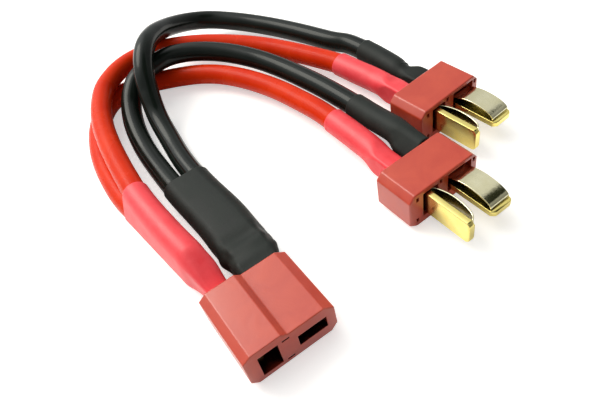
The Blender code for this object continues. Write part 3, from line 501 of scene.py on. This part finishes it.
def tinned_strands():
    """Tinned copper strand: dull silver, with the ridges of fine twisted wires."""
    material, tree, shader = start_material("tinned_copper_strand")
    place = add_node(tree, "ShaderNodeTexCoord").outputs["Object"]
    twist = add_node(tree, "ShaderNodeMapping", {"Vector": place, "Rotation": (0.0, 0.0, 0.3)})
    # a wave texture at scale 1 repeats every pi / 10
    strands = add_node(tree, "ShaderNodeTexWave", {
        "Vector": twist.outputs["Vector"], "Scale": math.pi / 10 / STRAND_RIDGE,
        "Distortion": 0.6, "Detail": 1.0})
    tarnish = add_node(tree, "ShaderNodeTexNoise", {
        "Vector": place, "Scale": 1 / TARNISH_PATCH, "Detail": 3.0})
    tint = add_node(tree, "ShaderNodeValToRGB", {"Fac": tarnish.outputs["Fac"]})
    tint.color_ramp.elements[0].color = hex_colour("#B9A998")
    tint.color_ramp.elements[1].color = hex_colour("#DAD6CE")
    tree.links.new(tint.outputs["Color"], shader.inputs["Base Color"])
    ridges = add_node(tree, "ShaderNodeBump", {
        "Height": strands.outputs["Fac"], "Strength": 0.6, "Distance": 0.00006})
    tree.links.new(ridges.outputs["Normal"], shader.inputs["Normal"])
    shader.inputs["Metallic"].default_value = 1.0
    shader.inputs["Roughness"].default_value = 0.38
    return material


def solder_fillet():
    """Tin-lead solder, cooled in place: bright, with soft ripples and a frosted skin."""
    material, tree, shader = start_material("cooled_solder")
    place = add_node(tree, "ShaderNodeTexCoord").outputs["Object"]
    ripples = add_node(tree, "ShaderNodeTexNoise", {
        "Vector": place, "Scale": 1 / SOLDER_RIPPLE, "Detail": 3.0})
    tint = add_node(tree, "ShaderNodeValToRGB", {"Fac": ripples.outputs["Fac"]})
    tint.color_ramp.elements[0].color = hex_colour("#B4B6B8")
    tint.color_ramp.elements[1].color = hex_colour("#DCDDDC")
    tree.links.new(tint.outputs["Color"], shader.inputs["Base Color"])
    rough = add_node(tree, "ShaderNodeMapRange", {
        "Value": ripples.outputs["Fac"], "To Min": 0.15, "To Max": 0.4})
    tree.links.new(rough.outputs["Result"], shader.inputs["Roughness"])
    waves = add_node(tree, "ShaderNodeBump", {
        "Height": ripples.outputs["Fac"], "Strength": 0.4, "Distance": 0.0001})
    tree.links.new(waves.outputs["Normal"], shader.inputs["Normal"])
    shader.inputs["Metallic"].default_value = 1.0
    return material


strand_metal = tinned_strands()
solder_metal = solder_fillet()
for name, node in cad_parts.items():
    if "conductor" in name or name.endswith("_solder"):
        node.data.materials.clear()
        node.data.materials.append(strand_metal if "conductor" in name else solder_metal)

# The socket's red joint is slim: two strands side by side under a poured fillet
RED_STRAND_DIAMETER = 0.0015
RED_STRAND_X = -0.003575
RED_STRAND_LEVELS = {"near": 0.0027, "far": 0.0047}
STRAND_TIP = 0.0009         # behind the housing, as is the place where it leaves the tab
STRAND_BEND = 0.0050
STRAND_CENTRING = 0.0009    # before the insulation, where a strand is in its wire's middle
STRAND_CLEARANCE = 0.0002
for ending, level in RED_STRAND_LEVELS.items():
    wire_start = wire_lines["red_wire_" + ending][0]
    line = [SOCKET_FRAME @ Vector((RED_STRAND_X, STRAND_TIP, level)),
            SOCKET_FRAME @ Vector((RED_STRAND_X, STRAND_BEND, level)),
            wire_start - Vector((0.0, STRAND_CENTRING, 0.0)),
            wire_start - Vector((0.0, STRAND_CLEARANCE, 0.0))]
    strand = grow_along("twisted_socket_red_strand_" + ending, line, insulated_wire, {
        "Diameter": RED_STRAND_DIAMETER, "Insulation": strand_metal, "Seed": 9.0})
    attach(strand, "root")
    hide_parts("socket_red_conductor_" + ending)

FILLET_MIDDLE = SOCKET_FRAME @ Vector((RED_STRAND_X, 0.0030, 0.0037))
FILLET_REACH = Vector((0.00078, 0.0021, 0.0017))
FILLET_UNEVENNESS = 0.08
pool = bmesh.new()
bmesh.ops.create_icosphere(pool, subdivisions=5, radius=1.0)
for vertex in pool.verts:
    swell = 1.0 + FILLET_UNEVENNESS * noise.noise(vertex.co * 2.5)
    vertex.co = FILLET_MIDDLE + vertex.co * FILLET_REACH * swell
pool_mesh = bpy.data.meshes.new("poured_fillet")
pool.to_mesh(pool_mesh)
pool.free()
pool_mesh.shade_smooth()
fillet = finished("poured_socket_red_fillet", pool_mesh)
fillet.data.materials.append(solder_metal)
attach(fillet, "root")
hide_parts("socket_red_solder")

# Housings: injection-moulded red nylon, semi-gloss, filled with a little glass fibre. The
# socket has a stepped top and two black-looking slots; the plugs lie on that stepped side.
SHARP_ANGLE = math.radians(48)      # faces that meet at more than this stay sharp
FLOW_MARK = 0.00455
MOULD_TEXTURE = 0.000385    # eroded into the mould, from peak to peak
EDGE_ROUND = 0.0003         # radius that the edges show


def eased_faces():
    """Merge a faceted solid's vertices and shade it smooth but for its sharp edges."""
    tree, given = start_tree("eased_faces", {"Sharp Angle": SHARP_ANGLE})
    merged = add_node(tree, "GeometryNodeMergeByDistance", {
        "Geometry": given["Geometry"], "Distance": 1e-6})
    smooth = add_node(tree, "GeometryNodeSetShadeSmooth", {"Geometry": merged.outputs["Geometry"]})
    turn = add_node(tree, "GeometryNodeInputMeshEdgeAngle").outputs["Unsigned Angle"]
    sharp = add_node(tree, "FunctionNodeCompare", {0: turn, 1: given["Sharp Angle"]},
                     data_type="FLOAT", operation="GREATER_THAN")
    creased = add_node(tree, "GeometryNodeSetShadeSmooth", {
        "Geometry": smooth.outputs["Geometry"], "Selection": sharp.outputs["Result"],
        "Shade Smooth": False}, domain="EDGE")
    add_node(tree, "NodeGroupOutput", {"Geometry": creased.outputs["Geometry"]})
    return tree


def moulded_nylon(name, painted_slot_shade, sink_strength):
    """Moulded nylon: red, satin, with flow and sink marks; its second argument is how much colour
    the painted shade in slots and pockets leaves.
    """
    material, tree, shader = start_material(name)
    place = add_node(tree, "ShaderNodeTexCoord").outputs["Object"]
    flow = add_node(tree, "ShaderNodeTexNoise", {
        "Vector": place, "Scale": 1 / FLOW_MARK, "Detail": 4.0, "Roughness": 0.55,
        "Distortion": 0.6})
    texture = add_node(tree, "ShaderNodeTexNoise", {
        "Vector": place, "Scale": 1 / MOULD_TEXTURE, "Detail": 3.0, "Roughness": 0.6})
    tint = add_node(tree, "ShaderNodeValToRGB", {"Fac": flow.outputs["Fac"]})
    tint.color_ramp.elements[0].position = 0.3
    tint.color_ramp.elements[0].color = hex_colour("#C03A21")
    tint.color_ramp.elements[1].position = 0.7
    tint.color_ramp.elements[1].color = hex_colour("#CB4628")
    # painted shade: ambient occlusion darkens the colour in slots and pockets
    painted_shade_occlusion = add_node(tree, "ShaderNodeAmbientOcclusion", {"Distance": 0.005}, samples=8,
                        only_local=True)
    depth = add_node(tree, "ShaderNodeMapRange", {
        "Value": painted_shade_occlusion.outputs["AO"], "From Min": 0.62, "From Max": 0.9,
        "To Min": painted_slot_shade, "To Max": 1.0})
    with_painted_shade = add_node(tree, "ShaderNodeVectorMath", {
        0: tint.outputs["Color"], "Scale": depth.outputs["Result"]}, operation="SCALE")
    tree.links.new(with_painted_shade.outputs["Vector"], shader.inputs["Base Color"])
    # painted shade also takes the shine and the coat out of the openings
    for socket_name, full in (("Specular IOR Level", 0.5), ("Coat Weight", 0.35)):
        shine = add_node(tree, "ShaderNodeMath", {0: depth.outputs["Result"], 1: full},
                         operation="MULTIPLY")
        tree.links.new(shine.outputs["Value"], shader.inputs[socket_name])
    rough = add_node(tree, "ShaderNodeMapRange", {
        "Value": flow.outputs["Fac"], "From Min": 0.3, "From Max": 0.7,
        "To Min": 0.30, "To Max": 0.40})
    tree.links.new(rough.outputs["Result"], shader.inputs["Roughness"])
    softened = add_node(tree, "ShaderNodeBevel", {"Radius": EDGE_ROUND}, samples=6)
    skin = add_node(tree, "ShaderNodeBump", {
        "Height": texture.outputs["Fac"], "Strength": 0.08, "Distance": 0.00005,
        "Normal": softened.outputs["Normal"]})
    sink = add_node(tree, "ShaderNodeBump", {
        "Height": flow.outputs["Fac"], "Strength": sink_strength, "Distance": 0.0003,
        "Normal": skin.outputs["Normal"]})
    tree.links.new(sink.outputs["Normal"], shader.inputs["Normal"])
    shader.inputs["IOR"].default_value = 1.53
    shader.inputs["Coat Roughness"].default_value = 0.16
    return material


def ease(node, tree):
    """Show a CAD node with smooth faces; its own mesh stays as it is."""
    faces = node.modifiers.new("eased_faces", "NODES")
    faces.node_group = tree
    weights = node.modifiers.new("flat_faces_stay_flat", "WEIGHTED_NORMAL")
    weights.keep_sharp = True


smooth_faces = eased_faces()
# painted shade: the socket's slots are darkened almost to black, the plugs' pockets less
socket_nylon = moulded_nylon("moulded_nylon_red_socket", 0.01, 0.22)
plug_nylon = moulded_nylon("moulded_nylon_red_plug", 0.75, 0.08)
for name in ("socket_housing", "near_plug_housing", "far_plug_housing"):
    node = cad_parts[name]
    node.data.materials.clear()
    node.data.materials.append(socket_nylon if name == "socket_housing" else plug_nylon)
    ease(node, smooth_faces)

# Contacts: stamped brass, pressed into the housings. The plugs' blades are plated with bright gold,
# and the socket's strips, deep in their slots, have the same gold painted dark as painted shade.
DRAW_MARK_WIDTH = 0.00025
DRAW_MARK_LENGTH = 0.00333
PLATE_CLOUD = 0.002


def gold_plate(name, deep, pale):
    """Gold on stamped brass: warm yellow, mirror-like, with fine draw marks."""
    material, tree, shader = start_material(name)
    place = add_node(tree, "ShaderNodeTexCoord").outputs["Object"]
    drawn = add_node(tree, "ShaderNodeMapping", {
        "Vector": place, "Scale": (1 / DRAW_MARK_WIDTH, 1 / DRAW_MARK_LENGTH, 1 / DRAW_MARK_WIDTH)})
    marks = add_node(tree, "ShaderNodeTexNoise", {
        "Vector": drawn.outputs["Vector"], "Scale": 1.0, "Detail": 3.0})
    cloud = add_node(tree, "ShaderNodeTexNoise", {
        "Vector": place, "Scale": 1 / PLATE_CLOUD, "Detail": 3.0})
    tint = add_node(tree, "ShaderNodeValToRGB", {"Fac": cloud.outputs["Fac"]})
    tint.color_ramp.elements[0].color = hex_colour(deep)
    tint.color_ramp.elements[1].color = hex_colour(pale)
    # painted shade: deep in a slot, ambient occlusion darkens the colour
    painted_shade_occlusion = add_node(tree, "ShaderNodeAmbientOcclusion", {"Distance": 0.003}, samples=8)
    depth = add_node(tree, "ShaderNodeMapRange", {
        "Value": painted_shade_occlusion.outputs["AO"], "From Min": 0.3, "From Max": 0.7,
        "To Min": 0.03, "To Max": 1.0})
    with_painted_shade = add_node(tree, "ShaderNodeVectorMath", {
        0: tint.outputs["Color"], "Scale": depth.outputs["Result"]}, operation="SCALE")
    tree.links.new(with_painted_shade.outputs["Vector"], shader.inputs["Base Color"])
    rough = add_node(tree, "ShaderNodeMapRange", {
        "Value": cloud.outputs["Fac"], "To Min": 0.12, "To Max": 0.26})
    tree.links.new(rough.outputs["Result"], shader.inputs["Roughness"])
    scratches = add_node(tree, "ShaderNodeBump", {
        "Height": marks.outputs["Fac"], "Strength": 0.10, "Distance": 0.00003})
    tree.links.new(scratches.outputs["Normal"], shader.inputs["Normal"])
    shader.inputs["Metallic"].default_value = 1.0
    return material


bright_gold = gold_plate("gold_plate_on_brass", "#F5DD72", "#FDF0A0")
# painted shade: the socket's strips are coloured dark brown for the shade deep in their slots
slot_shade_gold = gold_plate("gold_painted_dark_as_slot_shade", "#4A3A18", "#5E4C26")
for name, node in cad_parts.items():
    if name.endswith("_blade") or name.endswith("_contact"):
        node.data.materials.clear()
        node.data.materials.append(bright_gold if name.endswith("_blade") else slot_shade_gold)
        ease(node, smooth_faces)

# Leaf springs: thin strip of phosphor bronze, bowed over each blade and plated with a thin
# pale gold. The root is held in the housing and the tip turns down to the blade's end.
BLADE_THICKNESS = 0.00125
PLUG_LENGTH = 0.0083
SPRING_WIDTH = 0.0043
SPRING_THICKNESS = 0.0003
SPRING_EDGE_RADIUS = 0.0001
SPRING_ROOT = (0.0034, 0.0012)      # where it lies on the blade, behind the mating face
SPRING_LENGTH = 0.0088      # beyond the housing
SPRING_FACE_RISE = 0.0008   # off the blade at the housing, and at the top of its bow
SPRING_RISE = 0.0015
SPRING_PEAK = 0.42          # where that is, as a share of its length
SPRING_LIP = 0.985          # where its tip turns flat along the blade
SPRING_STEPS = 90
SPRING_SPACING = 0.00012    # of the sections of its strip
BLADE_OFFSET = 0.0037       # of each blade from its housing's centre line and flat face
PEBBLE = 0.0006667          # of the spring's skin
FLASH_CLOUD = 0.00238


def spring_line():
    """Side view of a spring in its blade's frame: root, bow towards -Z and flat lip."""
    start = -BLADE_THICKNESS / 2 - SPRING_THICKNESS
    points = [(0.0, -PLUG_LENGTH + depth, start) for depth in SPRING_ROOT]
    for step in range(SPRING_STEPS + 1):
        share = step / SPRING_STEPS
        if share < SPRING_PEAK:
            lift = math.sin(share / SPRING_PEAK * math.pi / 2)
            rise = SPRING_FACE_RISE + (SPRING_RISE - SPRING_FACE_RISE) * lift
        else:
            fall = min(1.0, (share - SPRING_PEAK) / (SPRING_LIP - SPRING_PEAK))
            rise = SPRING_RISE * math.sqrt(1.0 - fall * fall)
        points.append((0.0, -PLUG_LENGTH - SPRING_LENGTH * share, start - rise))
    return [Vector(point) for point in points]


def leaf_tree():
    """Line in, thin strip with eased edges out, its width across the line's plane."""
    tree, given = start_tree("leaf_strip", {
        "Width": SPRING_WIDTH, "Thickness": SPRING_THICKNESS, "Edge Radius": SPRING_EDGE_RADIUS,
        "Spacing": SPRING_SPACING}, "Metal")
    line = add_node(tree, "GeometryNodeMeshToCurve", {"Mesh": given["Geometry"]})
    even = add_node(tree, "GeometryNodeResampleCurve", {
        "Curve": line.outputs["Curve"], "Length": given["Spacing"]}, mode="LENGTH")
    upright = add_node(tree, "GeometryNodeSetCurveNormal", {"Curve": even.outputs["Curve"]},
                       mode="Z_UP")
    strip = add_node(tree, "GeometryNodeCurvePrimitiveQuadrilateral", {
        "Width": given["Width"], "Height": given["Thickness"]}, mode="RECTANGLE")
    eased = add_node(tree, "GeometryNodeFilletCurve", {
        "Curve": strip.outputs["Curve"], "Radius": given["Edge Radius"], "Count": 3}, mode="POLY")
    swept = add_node(tree, "GeometryNodeCurveToMesh", {
        "Curve": upright.outputs["Curve"], "Profile Curve": eased.outputs["Curve"],
        "Fill Caps": True})
    end_tree(tree, swept.outputs["Mesh"], given["Metal"])
    return tree


def flashed_bronze():
    """Gold-flashed spring bronze: pale, almost silvery, mirror-like with a pebbled skin."""
    material, tree, shader = start_material("gold_flashed_spring_bronze")
    place = add_node(tree, "ShaderNodeTexCoord").outputs["Object"]
    pebbles = add_node(tree, "ShaderNodeTexNoise", {
        "Vector": place, "Scale": 1 / PEBBLE, "Detail": 3.0, "Roughness": 0.6})
    cloud = add_node(tree, "ShaderNodeTexNoise", {
        "Vector": place, "Scale": 1 / FLASH_CLOUD, "Detail": 3.0})
    tint = add_node(tree, "ShaderNodeValToRGB", {"Fac": cloud.outputs["Fac"]})
    tint.color_ramp.elements[0].color = hex_colour("#E2DAAA")
    tint.color_ramp.elements[1].color = hex_colour("#F6F1D0")
    tree.links.new(tint.outputs["Color"], shader.inputs["Base Color"])
    rough = add_node(tree, "ShaderNodeMapRange", {
        "Value": cloud.outputs["Fac"], "To Min": 0.08, "To Max": 0.22})
    tree.links.new(rough.outputs["Result"], shader.inputs["Roughness"])
    skin = add_node(tree, "ShaderNodeBump", {
        "Height": pebbles.outputs["Fac"], "Strength": 0.45, "Distance": 0.00004})
    tree.links.new(skin.outputs["Normal"], shader.inputs["Normal"])
    shader.inputs["Metallic"].default_value = 1.0
    return material


spring_metal = flashed_bronze()
leaf_strip = leaf_tree()
for plug, plug_frame in (("near", NEAR_FRAME), ("far", FAR_FRAME)):
    for colour in ("red", "black"):
        # the red contact stands upright with its spring inwards, the black one lies flat
        side = 1 if colour == "red" else -1
        place = plug_frame @ Matrix.Translation((side * BLADE_OFFSET, 0.0, BLADE_OFFSET))
        if colour == "red":
            place = place @ Matrix.Rotation(math.pi / 2, 4, "Y")
        spring = grow_along(f"bowed_{plug}_{colour}_spring", spring_line(), leaf_strip,
                            {"Metal": spring_metal})
        spring.data.transform(place)
        weights = spring.modifiers.new("flat_faces_stay_flat", "WEIGHTED_NORMAL")
        weights.keep_sharp = True
        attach(spring, "root")
        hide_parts(f"{plug}_{colour}_spring")

# Table: a sheet of white paper, lit a little from within, so that it shows as plain white
# and still takes the harness's shadow.
TABLE_HALF = 1.5
TABLE_GLOW = 0.50
# painted shade: the next two set where the table's glow, as mirrored in the metal, is dimmed
TABLE_PAINTED_SHADE_REACH = 0.020      # how near a piece darkens it in mirrors
TABLE_PAINTED_SHADE_EDGE = (-0.0105, -0.0070)    # Y up to which it is dim there, and from which not
floor_mesh = bpy.data.meshes.new("table_top")
corners = [(x * TABLE_HALF, y * TABLE_HALF, 0.0) for x, y in ((-1, -1), (1, -1), (1, 1), (-1, 1))]
floor_mesh.from_pydata(corners, [], [(0, 1, 2, 3)])
floor = bpy.data.objects.new("table_top", floor_mesh)
bpy.context.scene.collection.objects.link(floor)
paper, tree, shader = start_material("white_paper")
shader.inputs["Base Color"].default_value = hex_colour("#F1EFEB")
shader.inputs["Roughness"].default_value = 0.9
shader.inputs["Specular IOR Level"].default_value = 0.1
rays = add_node(tree, "ShaderNodeLightPath").outputs
seen = add_node(tree, "ShaderNodeMath", {0: rays["Is Camera Ray"], 1: rays["Is Glossy Ray"]},
                operation="MAXIMUM")
seen = add_node(tree, "ShaderNodeMath", {0: seen.outputs["Value"], 1: rays["Is Transmission Ray"]},
                operation="MAXIMUM")
lift = add_node(tree, "ShaderNodeMath", {0: seen.outputs["Value"], 1: TABLE_GLOW},
                operation="MULTIPLY")
# painted shade: mirrored in the metal, the table's glow is dimmed towards the viewer
table_place = add_node(tree, "ShaderNodeTexCoord").outputs["Object"]
table_y = add_node(tree, "ShaderNodeSeparateXYZ", {"Vector": table_place}).outputs["Y"]
painted_mirror_shade = add_node(tree, "ShaderNodeMapRange", {
    "Value": table_y, "From Min": TABLE_PAINTED_SHADE_EDGE[0], "From Max": TABLE_PAINTED_SHADE_EDGE[1],
    "To Min": 0.15, "To Max": 1.0})
# and painted shade dims it under and between the pieces
table_shade_occlusion = add_node(tree, "ShaderNodeAmbientOcclusion", {"Distance": TABLE_PAINTED_SHADE_REACH}, samples=8)
with_painted_shade = add_node(tree, "ShaderNodeMapRange", {
    "Value": table_shade_occlusion.outputs["AO"], "From Min": 0.40, "From Max": 0.62, "To Min": 0.1})
painted_mirror_shade = add_node(tree, "ShaderNodeMath", {0: painted_mirror_shade.outputs["Result"], 1: with_painted_shade.outputs["Result"]},
               operation="MULTIPLY")
# the camera sees it undimmed
seen_plain = add_node(tree, "ShaderNodeMath", {0: painted_mirror_shade.outputs["Value"], 1: rays["Is Camera Ray"]},
                      operation="MAXIMUM")
lift = add_node(tree, "ShaderNodeMath", {
    0: lift.outputs["Value"], 1: seen_plain.outputs["Value"]}, operation="MULTIPLY")
shader.inputs["Emission Color"].default_value = (1.0, 1.0, 1.0, 1.0)
tree.links.new(lift.outputs["Value"], shader.inputs["Emission Strength"])
floor_mesh.materials.append(paper)

# Light: one warm window lamp behind and to the left, in a pale room that is darker towards
# the viewer. The bright metal mirrors a dark patch overhead, the lit ceiling, and the glow
# on the wall round the window.
LAMP_AIM = Vector((0.022, 0.035, 0.0))
LAMP_DISTANCE = 0.45
LAMP_SIZE = 0.27
LAMP_POWER = 1.10
WINDOW = Vector((-0.27, 0.61, 0.745)).normalized()      # where the light comes from
DARK_PATCH = Vector((0.33, -0.29, 0.90)).normalized()
lamp_data = bpy.data.lights.new("window_lamp", "AREA")
lamp_data.shape = "DISK"
lamp_data.size = LAMP_SIZE
lamp_data.energy = LAMP_POWER
lamp_data.color = (1.0, 0.98, 0.88)     # a warm afternoon window
lamp = bpy.data.objects.new("window_lamp", lamp_data)
lamp.matrix_world = (Matrix.Translation(LAMP_AIM + WINDOW * LAMP_DISTANCE)
                     @ WINDOW.to_track_quat("Z", "Y").to_matrix().to_4x4())
bpy.context.scene.collection.objects.link(lamp)

world = bpy.data.worlds.new("pale_room")
world.use_nodes = True
bpy.context.scene.world = world
tree = world.node_tree
direction = add_node(tree, "ShaderNodeTexCoord").outputs["Generated"]
overhead = add_node(tree, "ShaderNodeVectorMath", {0: direction, 1: DARK_PATCH},
                    operation="DOT_PRODUCT")
shade = add_node(tree, "ShaderNodeValToRGB", {"Fac": overhead.outputs["Value"]})
shade.color_ramp.elements[0].position = 0.918
shade.color_ramp.elements[0].color = hex_colour("#E6E7E8")
shade.color_ramp.elements[1].position = 0.934
shade.color_ramp.elements[1].color = hex_colour("#2A2E20")
# darker towards the viewer, with a lit ceiling
axes = add_node(tree, "ShaderNodeSeparateXYZ", {"Vector": direction}).outputs
level = add_node(tree, "ShaderNodeMapRange", {
    "Value": axes["Y"], "From Min": -0.8, "From Max": 0.8, "To Min": 0.28, "To Max": 0.86})
ceiling = add_node(tree, "ShaderNodeMapRange", {
    "Value": axes["Z"], "From Min": 0.50, "From Max": 0.90, "To Min": 0.0, "To Max": 0.34},
    interpolation_type="SMOOTHSTEP")
# the wall glows round the window
towards = add_node(tree, "ShaderNodeVectorMath", {0: direction, 1: WINDOW},
                   operation="DOT_PRODUCT")
glow = add_node(tree, "ShaderNodeMapRange", {
    "Value": towards.outputs["Value"], "From Min": 0.70, "From Max": 0.92, "To Min": 0.0,
    "To Max": 1.35}, interpolation_type="SMOOTHSTEP")
strength = add_node(tree, "ShaderNodeMath", {0: level.outputs["Result"], 1: glow.outputs["Result"]})
strength = add_node(tree, "ShaderNodeMath", {
    0: strength.outputs["Value"], 1: ceiling.outputs["Result"]})
lit = add_node(tree, "ShaderNodeVectorMath", {
    0: shade.outputs["Color"], "Scale": strength.outputs["Value"]}, operation="SCALE")
# the camera sees plain white
backdrop = add_node(tree, "ShaderNodeMixRGB", {
    "Fac": add_node(tree, "ShaderNodeLightPath").outputs["Is Camera Ray"],
    "Color1": lit.outputs["Vector"], "Color2": (1.0, 1.0, 1.0, 1.0)})
tree.links.new(backdrop.outputs["Color"], tree.nodes["Background"].inputs["Color"])

bpy.context.scene.view_settings.view_transform = "Standard"
